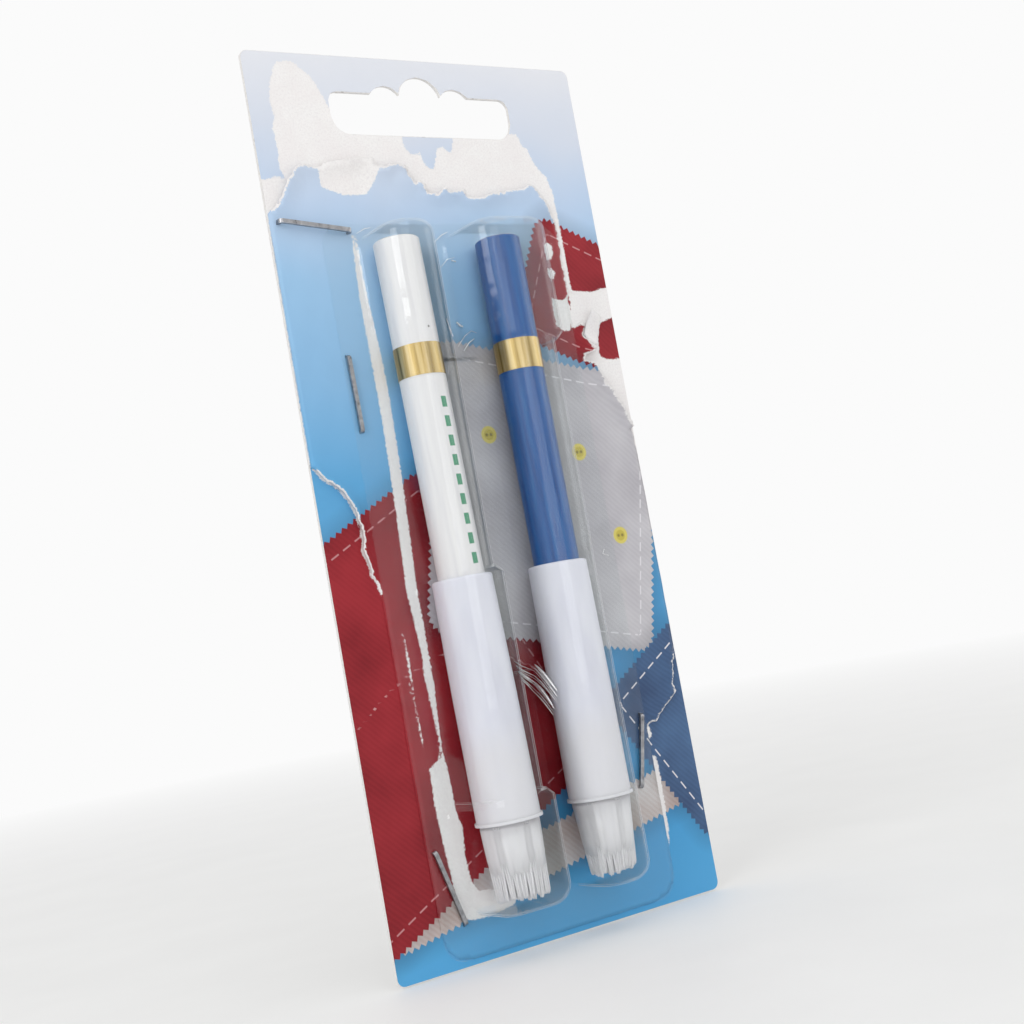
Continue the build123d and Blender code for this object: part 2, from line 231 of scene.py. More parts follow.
# Where the print is torn off the ply that stayed with the film
ply_bare = [
    [(-17.9, 119.2), (-18.3, 114), (-18.5, 108), (-18.4, 98), (-18.3, 88), (-18.5, 80), (-18.8, 70),
     (-19.3, 60), (-18.9, 55), (-18.5, 49), (-18.8, 46.6), (-18.5, 42), (-18.4, 36), (-18.7, 32.6),
     (-20.7, 31.6), (-20.9, 25), (-20.5, 19), (-20.1, 13), (-19.7, 9.4), (-18.6, 7.0), (-14, 6.7),
     (-9.5, 7.4), (-9, 9.4), (-13, 10.6), (-15.8, 11.0), (-16.8, 13), (-17.1, 17), (-16.6, 21.4),
     (-17.3, 23.5), (-17.5, 31), (-17.9, 33.6), (-17.7, 39), (-17.3, 44), (-17.3, 52), (-17.4, 60),
     (-16.9, 70), (-16.5, 80), (-16.3, 90), (-16.4, 98), (-16.8, 104), (-17.2, 111), (-17.2, 119)],
    [(-21.6, 53.6), (-21.2, 53.2), (-21.0, 48), (-21.3, 43), (-21.1, 36), (-21.4, 34), (-21.6, 38),
     (-21.8, 44), (-21.4, 49)],
    [(19.8, 107.3), (22.9, 106.6), (22.8, 101.4), (21.5, 101.2), (20.4, 101.9), (19.7, 102.2)],
    [(20.2, 117.2), (22.0, 117.4), (21.8, 115.2), (21.0, 114.2), (20.2, 114.4)],
    [(20.0, 112.8), (21.6, 112.6), (21.2, 110.8), (20.1, 110.5)],
    [(-22.2, 127.3), (-22.0, 130.6), (-19.0, 131.6), (-11.4, 132.6), (-11.2, 129.6), (-12.5, 127.6),
     (-14.0, 126.0), (-18.0, 125.8)]]

# Where the print is torn off the board, apart from under the ply, and one island of print left on
board_bare = [
    [(-28.2, 128), (-28.9, 130.6), (-28.6, 133.5), (-28.9, 136.8), (-28.2, 139), (-28.6, 141.5),
     (-28.1, 144.6), (-27, 147.2), (-26.2, 148.3), (-23.5, 148.6), (-21.8, 147.2), (-20.3, 145.9),
     (-19.2, 143.6), (-18.1, 141.0), (-17, 138.0), (0, 138.5), (18.9, 137.4), (19.4, 135.6),
     (20.6, 134.6), (21.2, 132.4), (22.4, 130.8), (23.6, 129.6), (24.3, 127), (24.5, 122),
     (24.5, 112), (24.4, 108.0), (22, 108), (18, 120), (-28, 122)],
    [(24.0, 108), (25.2, 108.5), (27, 108.3), (29, 108.2), (30.6, 108.7), (34, 109.1), (34, 103.7),
     (32.3, 103.4), (30.6, 102.8), (28.9, 102.3), (28.5, 100.5), (28.2, 98.6), (28.1, 96.2),
     (29.5, 95.8), (31, 95.6), (34, 95.9), (34, 76), (26, 80), (22, 95)],
    [(22.3, 25.0), (23.1, 25.1), (24.1, 24.9), (24.2, 20.5), (24.0, 16.0), (23.9, 12.5),
     (23.4, 9.6), (22.7, 9.0), (22.4, 12), (22.6, 17), (22.3, 21)],
    [(23.0, 30.0), (24.0, 30.0), (23.9, 27.9), (23.2, 28.5)],
    [(-34, 128.2), (-31.2, 128.4), (-29.6, 129.0), (-28.2, 128), (-28, 122), (-34, 122)]]
board_island = [(-5, 139), (-5, 134.6), (-3.9, 133.2), (-2.8, 133.2), (-2.2, 134), (-1.8, 132.6),
                (-1.2, 131.2), (-0.6, 130.7), (0.3, 130.6), (0.8, 132), (1.6, 134.3), (2.6, 134.9),
                (3.4, 134.1), (4.1, 133.4), (4.7, 134.4), (5.2, 136.2), (5.3, 139)]

# The hang slot, a little larger than the hole in the board so that no print hangs over it
slot_right = [(2.2, 146.5), (3.7, 145.2), (4.2, 144.0), (5.4, 144.9), (6.9, 145.2), (8.4, 144.8),
              (9.8, 143.8), (16.1, 143.8), (17.3, 143.4), (17.9, 142.2), (17.9, 139.4),
              (17.3, 137.6), (16.2, 136.7), (14.6, 136.3)]
slot_left = [(-x, up) for x, up in reversed(slot_right)]
slot_outline = slot_left[4:] + [(0.0, 147.1)] + slot_right + slot_left[:4]
print("ply outline:", len(ply_points), "points;", len(ply_bare) + len(board_bare), "torn patches")

# %% Outlines of the printed swatches
SWATCH_CORNER = 2.0


def swatch_line(x, up, width, height, degrees):
    """Outline of a rectangle of cloth: its middle, its size and its turn, corners a little cut."""
    w, h, c = width / 2, height / 2, SWATCH_CORNER
    corners = [(w - c, h), (w, h - c), (w, c - h), (w - c, -h),
               (c - w, -h), (-w, c - h), (-w, h - c), (c - w, h)]
    cos, sin = math.cos(math.radians(degrees)), math.sin(math.radians(degrees))
    turned = [(x + a * cos - b * sin, up + a * sin + b * cos) for a, b in corners]
    return cut_corners(walk(turned, 3.0), 1)


swatches = {"strip_cloth": swatch_line(6, 15.5, 80, 8, 11),
            "lower_red_cloth": swatch_line(-26, 40, 62, 58, 28),
            "upper_red_cloth": swatch_line(33, 104, 40, 24, -24),
            "grey_cloth": swatch_line(11, 72, 46, 50, -13),
            "corner_cloth": swatch_line(36, 30, 30, 34, 33)}
chalk_arc = [(-46, 30), (-34, 38), (-24, 46), (-12, 50), (0, 46), (10, 38)]
chalk_loop = cut_corners(chalk_arc + chalk_arc[::-1])
chalk_line = walk(chalk_loop[:len(chalk_loop) // 2], 1.0, closed=False)
print("swatch lines:", {name: len(line) for name, line in swatches.items()})

# %% [markdown]
# ## Sheets of paper
# Each printed sheet is a real mesh: its outline is followed point by point, the inside is filled
# with a grid, and a constrained Delaunay triangulation joins them. Every vertex also stores how
# far it is from the swatches and from the torn lines. A distance changes evenly across a triangle,
# so the material can draw edges far finer than the mesh.

# %% Sheet builder
SHEET_STEP, TAB_STEP, PLY_STEP = 0.8, 0.5, 0.35
PRINT_PROUD, TAB_PROUD, PLY_PROUD = 0.02, 0.10, 0.14
PAPER_MM = 0.13


def rough_line(line, reach, seed, torn):
    """A closed line with small random teeth where it is torn; torn gives 0 to 1 for each place."""
    rng = np.random.default_rng(seed)
    ahead, behind = np.roll(line, -1, axis=0), np.roll(line, 1, axis=0)
    run = ahead - behind
    outward = np.stack([run[:, 1], -run[:, 0]], 1) / (np.hypot(*run.T)[:, None] + 1e-9)
    fine = rng.normal(0, 1, len(line))
    slow = np.convolve(np.tile(rng.normal(0, 1, len(line)), 3), np.ones(5) / 5, "same")
    slow = slow[len(line):2 * len(line)]
    return line + outward * (reach * (0.35 * fine + 0.9 * slow) * torn)[:, None]


def sheet_places(outline, holes, step):
    """Points and triangles that fill an outline and leave out its holes."""
    rings = [outline] + holes
    low, high = outline.min(0), outline.max(0)
    grid = np.stack(np.meshgrid(np.arange(low[0], high[0], step),
                                np.arange(low[1], high[1], step)), 2).reshape(-1, 2)
    keep = inside(grid, outline)
    for ring in rings:
        keep &= np.abs(measure(grid, ring)[0]) > 0.55 * step
    for hole in holes:
        keep &= ~inside(grid, hole)
    points, edges = [], []
    for ring in rings:
        first, count = len(points), len(ring)
        points += [Vector(p) for p in ring]
        edges += [(first + i, first + (i + 1) % count) for i in range(count)]
    points += [Vector(p) for p in grid[keep]]
    out = delaunay_2d_cdt(points, edges, [], 0, 1e-6)
    places = np.array([tuple(p) for p in out[0]])
    triangles = np.array(out[2])
    middle = places[triangles].mean(1)
    good = inside(middle, outline)
    for hole in holes:
        good &= ~inside(middle, hole)
    return places, triangles[good]


def union(distances):
    """Distance to the nearest of several outlines."""
    return np.minimum.reduce(distances)


def store(mesh, name, gap, along=0.0):
    """Keeps a distance, and the way along its line, with each vertex for the material to read."""
    values = np.zeros((len(gap), 3), np.float32)
    values[:, 0], values[:, 1] = gap, along
    mesh.attributes.new(name, "FLOAT_VECTOR", "POINT").data.foreach_set("vector", values.ravel())


def store_print(mesh, places):
    """Distances to the printed swatches and lines, read by the print's material."""
    for name, line in swatches.items():
        store(mesh, name, *measure(places, line))
    store(mesh, "chalk_line", *measure(places, chalk_line, closed=False))


def mesh_piece(name, vertices, faces, material):
    """A smooth mesh object with one material."""
    mesh = bpy.data.meshes.new(name)
    mesh.from_pydata([tuple(v) for v in vertices], [], [tuple(f) for f in faces])
    mesh.polygons.foreach_set("use_smooth", [True] * len(mesh.polygons))
    mesh.materials.append(material)
    piece = bpy.data.objects.new(name, mesh)
    bpy.context.scene.collection.objects.link(piece)
    return piece


def thicken(piece):
    """Gives a sheet its thickness, behind the face that carries the print."""
    solidify = piece.modifiers.new("paper_thickness", "SOLIDIFY")
    solidify.thickness, solidify.offset = PAPER_MM * MM, -1.0


def smooth_step(low, high, value):
    """0 below low, 1 above high, and eased between them."""
    share = np.clip((value - low) / (high - low), 0, 1)
    return share * share * (3 - 2 * share)


print("sheet grid:", SHEET_STEP, "mm")

# %% [markdown]
# ## The print
# The card is solid bleached board, offset printed and coated, so the print is smooth and slightly
# glossy while a torn place is matt white fibre. One function draws the shared design, and the two
# printed sheets use it in one material each: the swatches are masks made from the stored
# distances, with a zigzag of 1.3 mm teeth as pinking shears cut it.

# %% Coordinates and masks
MILLI = 1000.0
PINKING_TOOTH = 1.3


def card_coordinates(add):
    """Object coordinates in millimetres."""
    return add("VectorMath:SCALE", add("TexCoord", output="Object"), MILLI)


def field(add, name):
    """Distance to a stored line and the way along it."""
    gap = add("SeparateXYZ", add("Attribute", attribute_name=name, output="Vector"))
    return gap, gap.node.outputs[1]


def pinked_mask(add, name):
    """Mask of a swatch with a zigzag edge, its plain distance and the way along its edge."""
    gap, along = field(add, name)
    shifted = add("Math:ADD", gap, add("Math:PINGPONG", along, PINKING_TOOTH / 2))
    return add("MapRange", shifted, 0.07, -0.07), gap, along


def stitch_mask(add, gap, along, inset, width, dash):
    """Dashes that run along a line at a set distance inside it; dash 0 gives an unbroken line."""
    off = add("Math:ABSOLUTE", add("Math:ADD", gap, inset))
    line = add("MapRange", off, width * 0.65, width * 0.35)
    if not dash:
        return line
    beat = add("Math:PINGPONG", along, dash)
    beat = add("MapRange", beat, dash * 0.66, dash * 0.58)
    return add("Math:MULTIPLY", line, beat)


print("pinking teeth:", PINKING_TOOTH, "mm")

# %% Print design
THREAD_MM = 0.55
SEAM_INSET, SEAM_WIDTH, SEAM_DASH = 3.0, 0.26, 1.3
RED_LIGHT, RED_DARK, RED_THREAD = "#9c2730", "#7a141e", "#c08588"
CLOTHS = (("strip_cloth", "#d8d3d3", "#b8a29b", None),
          ("lower_red_cloth", RED_LIGHT, RED_DARK, RED_THREAD),
          ("upper_red_cloth", RED_LIGHT, RED_DARK, RED_THREAD),
          ("grey_cloth", "#cbc9cd", "#aeabb1", "#dedce0"),
          ("corner_cloth", "#4f6e95", "#3b5073", "#dedce0"))
BUTTONS = ((19.6, 79.5), (25.2, 64.0), (1.6, 84.0))
# Radius, offset to the side and colour of the disc, the sunken middle and the two holes of each
BUTTON_DISCS = ((1.5, 0.0, "#d9cb6c"), (0.93, 0.0, "#c6b654"),
                (0.26, -0.42, "#8d8148"), (0.26, 0.42, "#8d8148"))
PRINT_Y = -0.4


def cloth_colour(add, place, light, dark):
    """Photographed cloth: fine threads and soft shading from its folds."""
    threads = add("TexWave", bands_direction="DIAGONAL", Vector=place, Scale=0.314 / THREAD_MM,
                  Distortion=1.2, Detail=2.0, Detail_Scale=2.0, output="Fac")
    folds = add("TexNoise", place, Scale=1 / 16.0, Detail=3.0, Roughness=0.55)
    share = add("Math:MULTIPLY_ADD", threads, 0.07, folds)
    share = add("MapRange", share, 0.36, 0.70)
    return add("Mix:RGBA", share, dark, light)


def design_colour(add, place):
    """The whole printed picture."""
    up = add("SeparateXYZ", place, output="Z")
    share = add("Math:MULTIPLY_ADD", up, 1 / CARD_H, HANG_HEIGHT / CARD_H)
    drift = add("TexNoise", place, Scale=1 / 30.0)
    share = add("Math:MULTIPLY_ADD", drift, 0.10, share)
    share = add("Math:SUBTRACT", share, 0.05)
    colour = add("ValToRGB", share, stops=[
        (0.00, "#55a6d8"), (0.12, "#499bd0"), (0.30, "#4f9acd"), (0.52, "#5fa6d6"),
        (0.64, "#88b8df"), (0.74, "#9ac2e4"), (0.84, "#bacee7"), (0.92, "#d2d9e6"),
        (1.00, "#e1e3e9")])
    for name, light, dark, thread in CLOTHS:
        mask, gap, along = pinked_mask(add, name)
        shade = add("MapRange", gap, -1.0, 3.0, 0.30, 0.0)
        colour = add("Mix:RGBA", shade, colour, "#2b3038")
        colour = add("Mix:RGBA", mask, colour, cloth_colour(add, place, light, dark))
        if thread:
            seam = stitch_mask(add, gap, along, SEAM_INSET, SEAM_WIDTH, SEAM_DASH)
            colour = add("Mix:RGBA", seam, colour, thread)

    # A line of tailor's chalk, dusty, and only where it crosses the large red cloth
    chalk = stitch_mask(add, *field(add, "chalk_line"), 0.0, 0.42, 0)
    dust = add("TexNoise", place, Scale=1 / 0.4)
    dust = add("MapRange", dust, 0.35, 0.6, 0.25, 0.8)
    for mask in (dust, pinked_mask(add, "lower_red_cloth")[0]):
        chalk = add("Math:MULTIPLY", chalk, mask)
    colour = add("Mix:RGBA", chalk, colour, "#d8a9aa")

    for x, height in BUTTONS:
        for reach, aside, paint in BUTTON_DISCS:
            middle = (x + aside, PRINT_Y, height - HANG_HEIGHT)
            gap = add("VectorMath:DISTANCE", place, middle)
            disc = add("MapRange", gap, reach + 0.12, reach - 0.1)
            colour = add("Mix:RGBA", disc, colour, paint)
    return colour


print("cloths:", [name for name, *_ in CLOTHS], "buttons:", len(BUTTONS))

# %% Paper material
TEAR_TOOTH, TEAR_DEPTH = 0.5, 1.1


def paper_material(name, torn_field, gloss):
    """Coated print over white fibre: the stored distance says where the print is torn away."""
    material, add = new_material(name)
    place = card_coordinates(add)
    teeth = add("TexNoise", place, Scale=1 / TEAR_TOOTH, Detail=4.0, Roughness=0.75)
    teeth = add("Math:MULTIPLY_ADD", teeth, TEAR_DEPTH, -TEAR_DEPTH / 2)
    edge = add("Math:ADD", field(add, torn_field)[0], teeth)
    bare = add("MapRange", edge, 0.12, -0.05)
    fibre_noise = add("TexNoise", place, Scale=1 / 0.35, Detail=5.0, Roughness=0.7)
    fibre = add("ValToRGB", fibre_noise, stops=[
        (0.25, "#e3dfe0"), (0.5, "#efedec"), (0.8, "#f7f6f5")])
    blotch = add("TexNoise", place, Scale=1 / 5.0, Detail=3.0)
    blotch = add("MapRange", blotch, 0.35, 0.7, 0.0, 0.4)
    fibre = add("Mix:RGBA", blotch, fibre, "#e8e2e2")
    colour = add("Mix:RGBA", bare, design_colour(add, place), fibre)
    sunk = add("MapRange", edge, -0.25, 0.1, -0.6, 0.3)
    torn = add("Math:MULTIPLY_ADD", fibre_noise, 0.5, sunk)
    flat = add("Math:MULTIPLY", add("TexNoise", place, Scale=1 / 2.5, Detail=3.0), 0.10)
    relief = add("Mix:FLOAT", bare, flat, torn)
    rough = add("MapRange", bare, 0.0, 1.0, gloss, 0.9)
    solid_surface(add, colour, rough, relief, 0.35, 0.10, IOR=1.5, Specular_IOR_Level=0.25)
    return material


board_print_finish = paper_material("coated_offset_print_on_board", "board_torn", 0.40)
ply_print_finish = paper_material("coated_offset_print_on_torn_ply", "ply_torn", 0.36)
print("print materials:", board_print_finish.name, ply_print_finish.name)

# %% [markdown]
# ## The print that stayed on the board
# The board keeps its print round the edges and loses it where the ply tore away. This sheet lies a
# hair in front of the CAD board and takes its outline from it, with the hang slot left open.

# %% Board print
FLANGE_LEFT, FLANGE_RIGHT, FLANGE_TOP = -23.7, 23.1, 120.8


def torn_share(line):
    """1 on torn edges of the ply, a little under the flange's edge, 0 on the card's cut edges."""
    x, up = line[:, 0], line[:, 1]
    cut = (np.abs(x) > 32.2) | (up > 149)
    near = (np.abs(x - FLANGE_LEFT) < 0.4) | (np.abs(x - FLANGE_RIGHT) < 0.4)
    near = (near & (up < 60.5)) | (up < 2.2)
    return np.where(cut, 0.0, np.where(near, 0.25, 1.0))


walked = walk(ply_points, PLY_STEP)
ply_line = rough_line(walked, 0.22, 3, torn_share(walked))
inset_card = walk([(x * 0.9985, 75 + (up - 75) * 0.9993) for x, up in card_outline], SHEET_STEP)
slot_line = walk(slot_outline, 0.5)

places, triangles = sheet_places(inset_card, [slot_line], SHEET_STEP)
board_print = mesh_piece("board_print", [on_card(x, up, PRINT_PROUD) for x, up in places],
                         triangles, board_print_finish)
patches = [measure(places, np.array(p, float))[0] for p in board_bare]
patches[0] = np.maximum(patches[0], -measure(places, np.array(board_island, float))[0])
flush = (places[:, 1] < 60) & ((places[:, 0] < 0) | (places[:, 1] < 29))
gap = union(patches + [measure(places, ply_line)[0] + np.where(flush, 0.3, -0.08)])
store(board_print.data, "board_torn", gap)
store_print(board_print.data, places)
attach(board_print, "pack")
print("board print:", len(places), "vertices,", len(triangles), "triangles")

# %% [markdown]
# ## The torn printed ply
# The ply is a sheet of paper 0.13 mm thick that lifts and curls where nothing holds it. A cloth
# simulation would flatten it, so its curl is written directly: each place rises with how near it
# is to a torn edge outside the flange, and a Solidify modifier gives the sheet its thickness.

# %% Torn ply
PLY_CUT, FAR = 32.35, 9.0


def ply_rise(places, edge_gap):
    """How far the ply stands proud of its flat place, in millimetres."""
    x, up = places[:, 0], places[:, 1]
    outside = np.maximum.reduce([FLANGE_LEFT - x, x - FLANGE_RIGHT, up - FLANGE_TOP])
    free = smooth_step(0.2, 2.0, outside)
    curl = np.clip(1 - edge_gap / 3.5, 0, 1) ** 2
    left = 0.7 * smooth_step(60, 66, up) * (1 - smooth_step(80, 84, up)) * (x < 0)
    top = (0.45 + 0.5 * np.sin(x * 0.33 + 1.0) ** 2) * smooth_step(121, 125, up)
    right = 1.1 * smooth_step(78, 84, up) * (1 - smooth_step(96, 101, up)) * (x > 0)
    low = 0.5 * smooth_step(28, 31, up) * (1 - smooth_step(40, 46, up)) * (x > 0)
    wave = 0.05 * np.sin(x * 0.9 + up * 0.23) + 0.05 * np.sin(up * 0.61 - x * 0.3)
    return free * (curl * (left + top + right + low) + np.abs(wave))


places, triangles = sheet_places(ply_line, [], SHEET_STEP)
x, up = places[:, 0], places[:, 1]
held = (up < 60) & ((x < -22) | (up < 3) | ((x > 22) & (up < 29)))
held |= np.abs(x) > PLY_CUT - 0.4
torn_gap = np.where(held, FAR, -measure(places, ply_line)[0])
rise = ply_rise(places, torn_gap)
torn_ply = mesh_piece("torn_printed_ply",
                      [on_card(a, b, PLY_PROUD + r) for (a, b), r in zip(places, rise)],
                      triangles, ply_print_finish)
rim = np.where((x > 22) & (up < 46), 0.10, 0.22)
gap = union([measure(places, np.array(p, float))[0] for p in ply_bare] + [torn_gap - rim])
store(torn_ply.data, "ply_torn", gap)
store_print(torn_ply.data, places)
thicken(torn_ply)
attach(torn_ply, "pack")
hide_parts("torn_printed_face")
print("torn ply:", len(places), "vertices, highest curl", round(float(rise.max()), 2), "mm")

# %% [markdown]
# ## A torn tab
# Beside the blue pencil a small tab of paper stands off the board, still held along one side. It
# is a sheet like the ply, on a finer grid, and bends up towards its free corner.

# %% Torn tab
tab_points = [(27.2, 104.9), (28.9, 103.2), (28.6, 100.8), (28.1, 98.7), (27.3, 98.3), (26.4, 98.8),
              (25.4, 100.4), (26.0, 102.3)]
walked = walk(tab_points, PLY_STEP)
tab_line = rough_line(walked, 0.12, 9, np.ones(len(walked)))
places, triangles = sheet_places(tab_line, [], TAB_STEP)
lift = 0.25 + 1.5 * smooth_step(99.5, 105.5, places[:, 1]) * smooth_step(25.0, 28.5, places[:, 0])
tab = mesh_piece("torn_tab", [on_card(a, b, TAB_PROUD + r) for (a, b), r in zip(places, lift)],
                 triangles, ply_print_finish)
store(tab.data, "ply_torn", np.full(len(places), -1.0))
store_print(tab.data, places)
thicken(tab)
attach(tab, "pack")
print("tab:", len(places), "vertices")

# %% [markdown]
# ## Bare board
# The board behind the print is bleached pulp pressed in layers: a clean white with a faint grain,
# darker specks, and fine layers along its cut edges.

# %% Board material
LAYER_MM = 0.05


def dress(node, material):
    """Gives a CAD node its finish."""
    for slot in frame["nodes"][node].material_slots:
        slot.material = material


def board_material():
    material, add = new_material("bleached_pulp_board_uncoated")
    place = card_coordinates(add)
    pulp = add("TexNoise", place, Scale=1 / 0.6, Detail=6.0, Roughness=0.7)
    colour = add("ValToRGB", pulp, stops=[(0.25, "#d6d3d2"), (0.5, "#e9e7e5"), (0.75, "#f3f1ef")])
    speck = add("TexNoise", place, Scale=1 / 1.3, Detail=1.0)
    speck = add("MapRange", speck, 0.70, 0.74, 0.0, 0.5)
    colour = add("Mix:RGBA", speck, colour, "#a59f98")
    layer = add("Math:PINGPONG", add("SeparateXYZ", place, output="Y"), LAYER_MM)
    layer = add("Math:MULTIPLY_ADD", layer, 8.0, pulp)
    solid_surface(add, colour, 0.85, layer, 0.4, 0.06, IOR=1.5)
    return material


dress("backing_card", board_material())
print("board dressed")

# %% [markdown]
# ## Clear film
# The blister is thermoformed PET sheet, 0.25 mm thick and clear. What one sees of it are its
# reflections: bright lines on every bend, a faint veil where it faces the light and fine waves
# from the forming. It is transparent, with a share of gloss that grows towards grazing views, and
# lets lamplight through to the print as thin film does; glass with refraction would throw a dark
# shadow on the card. Where the film is seen edge on, light scattered along it comes out, so its
# bends and ends show as thin white lines.

# %% Film material
def scattered_white(add):
    """Light that leaves a fold or an edge of the film evenly to both sides."""
    haze = add("BsdfTranslucent", Color="#ffffff")
    chalky = add("BsdfDiffuse", Color="#ffffff")
    return add("MixShader", 0.5, haze, chalky)


def film_material():
    material, add = new_material("thermoformed_clear_pet_film")
    place = card_coordinates(add)
    waves = add("TexNoise", place, Scale=1 / 7.0, Roughness=0.4)
    fine = add("TexNoise", place, Scale=1 / 1.2, Detail=3.0, Roughness=0.6)
    relief = add("Math:MULTIPLY_ADD", fine, 0.12, waves)
    bump = add("Bump", Height=relief, Strength=0.35, Distance=0.4 * MM)
    facing = add("LayerWeight", Blend=0.5, Normal=bump, output="Facing")
    grazing = add("Math:POWER", facing, 6.0)
    share = add("Math:MULTIPLY_ADD", grazing, 0.55, 0.022, use_clamp=True)
    clear = add("BsdfTransparent", Color="#fdfefe")
    gloss = add("BsdfAnisotropic", Color="#ffffff", Roughness=0.03, Normal=bump)
    shader = add("MixShader", share, clear, gloss)
    # The white outlines follow the smooth form, without its waves
    facing = add("LayerWeight", Blend=0.5, output="Facing")
    edge = add("MapRange", facing, 0.84, 0.98, 0.0, 0.85)
    add("OutputMaterial", add("MixShader", edge, shader, scattered_white(add)))
    return material


dress("blister", film_material())
print("film dressed")

# %% [markdown]
# ## Creases and painted glints in the film
# Handling has folded the film in a few places, and PET turns white where it is folded sharply.
# The same white lines also stand for glints of light on the film's bends, so they are partly real
# fold whitening and partly painted highlights. Each line is very thin and lies on the film: a
# curve with a small round section, thinner towards its ends. The deepest ones fan over the side of
# the blue pencil's pocket.

# %% Crease and painted glint finish
def crease_and_painted_glint_finish():
    material, add = new_material("fold_whitened_pet_film_with_painted_glints")
    worn = add("TexNoise", card_coordinates(add), Scale=1 / 0.6, Detail=3.0)
    worn = add("MapRange", worn, 0.32, 0.5, 0.65)
    clear = add("BsdfTransparent")
    bright = add("BsdfAnisotropic", Color="#ffffff", Roughness=0.3)
    # White of the lines: partly fold-whitened film, partly painted highlights of glints on the
    # bends
    white = add("MixShader", 0.5, scattered_white(add), bright)
    add("OutputMaterial", add("MixShader", worn, clear, white))
    return material


# %% Crease and painted glint lines
FLANGE_PROUD = 0.44
WALL_TOP, FRONT_RADIUS, FRONT_MIDDLE = 6.3, 5.42, 6.46
FAN_LINES, FAN_STEPS = 9, 7
FAN_WIDTHS = (0.30, 0.22, 0.08, 0.13, 0.07)
# Short white lines on the flat film: painted glints, partly fold whitening
FLAT_CREASES_AND_GLINTS = (([(-2.9, 104.3), (-2.6, 102.6), (-2.2, 101.2)], 0.12),
                ([(-1.0, 103.6), (-0.4, 103.0), (0.1, 102.8)], 0.22),
                ([(-1.6, 99.4), (0.2, 101.2), (1.6, 102.0), (2.6, 101.6)], 0.07),
                ([(-0.6, 98.6), (0.8, 100.0), (1.9, 100.6)], 0.12),
                ([(-2.2, 113.2), (-0.6, 114.6), (0.9, 114.9)], 0.06),
                ([(0.2, 114.4), (1.0, 114.2)], 0.2),
                ([(-2.6, 117.6), (-1.0, 118.8), (0.4, 119.4)], 0.07),
                ([(-17.2, 119.2), (-15.6, 120.0), (-14.4, 120.2)], 0.06),
                ([(20.9, 62.0), (20.4, 61.2), (21.6, 60.8)], 0.08))


def pocket_side_x(depth):
    """Left side of the blue pencil's pocket, just outside the film, at a depth from the card."""
    if depth < WALL_TOP:
        return 0.76 + 0.035 * depth
    return FRONT_MIDDLE - math.sqrt(FRONT_RADIUS ** 2 - (depth - WALL_TOP) ** 2)


# Lines that fan over the blue pocket's side: partly real creases, partly painted highlights
crease_and_glint_lines = []
for k in range(FAN_LINES):
    rng = random.Random(40 + k)
    up_from = 44.6 - 0.55 * k + rng.uniform(-0.2, 0.2)
    up_to = 39.6 - 0.42 * k + rng.uniform(-0.4, 0.4)
    depth_from, depth_to = 2.6 - 0.22 * k, 7.8 - 0.35 * k + rng.uniform(-0.6, 0.6)
    line = []
    if k > 1:
        line = [(on_card(-1.9 + 0.15 * k, up_from + 2.2, FLANGE_PROUD), 0.4),
                (on_card(-0.6 + 0.1 * k, up_from + 1.2, FLANGE_PROUD), 0.9)]
    for step in range(FAN_STEPS):
        share = step / (FAN_STEPS - 1)
        depth = depth_from + (depth_to - depth_from) * share
        up = up_from + (up_to - up_from) * share + 0.35 * math.sin(math.pi * share)
        swell = math.sin(math.pi * (0.1 + 0.8 * share))
        line.append((on_card(pocket_side_x(depth), up, depth), swell))
    crease_and_glint_lines.append((line, FAN_WIDTHS[k % len(FAN_WIDTHS)]))
for points, width in FLAT_CREASES_AND_GLINTS:
    line = [(on_card(x, up, FLANGE_PROUD), 1.0 if 0 < n < len(points) - 1 else 0.6)
            for n, (x, up) in enumerate(points)]
    crease_and_glint_lines.append((line, width))

crease_and_glint_curve = bpy.data.curves.new("film_creases_and_painted_glints", "CURVE")
crease_and_glint_curve.dimensions = "3D"
crease_and_glint_curve.bevel_depth, crease_and_glint_curve.bevel_resolution = MM, 1
crease_and_glint_curve.use_fill_caps = True
for line, width in crease_and_glint_lines:
    spline = crease_and_glint_curve.splines.new("POLY")
    spline.points.add(len(line) - 1)
    for point, (place, swell) in zip(spline.points, line):
        point.co = (*place, 1.0)
        point.radius = width * swell
crease_and_glint_curve.materials.append(crease_and_painted_glint_finish())
creases_and_glints = bpy.data.objects.new("film_creases_and_painted_glints", crease_and_glint_curve)
bpy.context.scene.collection.objects.link(creases_and_glints)
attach(creases_and_glints, "pack")
print("creases:", len(crease_and_glint_lines))

# %% [markdown]
# ## Pencils
# Each pencil is round wood in two halves round a chalk core, dipped in several coats of glossy
# lacquer. Colour and wear follow the pencil, not the card, so the material measures along the
# pencil's own axis, which the joint of its cap gives.

# %% Pencil coordinates
joints = {j["name"]: j for j in frame["joints"]}


def pencil_axes(side):
    """Start at the brush tips, and three directions: aside, back and up the pencil."""
    joint = joints[side + "_cap_spin"]
    along = Vector(joint["axis"]).normalized()
    aside = (Vector((1, 0, 0)) - along * along.x).normalized()
    return Vector(joint["pos_m"]), aside, along.cross(aside), along


def pencil_coordinates(add, side):
    """Outputs in millimetres: along the pencil, aside, back, and the turn round it in radians."""
    start, aside, back, along = pencil_axes(side)
    local = add("VectorMath:SUBTRACT", add("TexCoord", output="Object"), tuple(start))
    parts = [add("VectorMath:DOT_PRODUCT", local, tuple(way * MILLI))
             for way in (along, aside, back)]
    return (*parts, add("Math:ARCTAN2", parts[1], parts[2]))


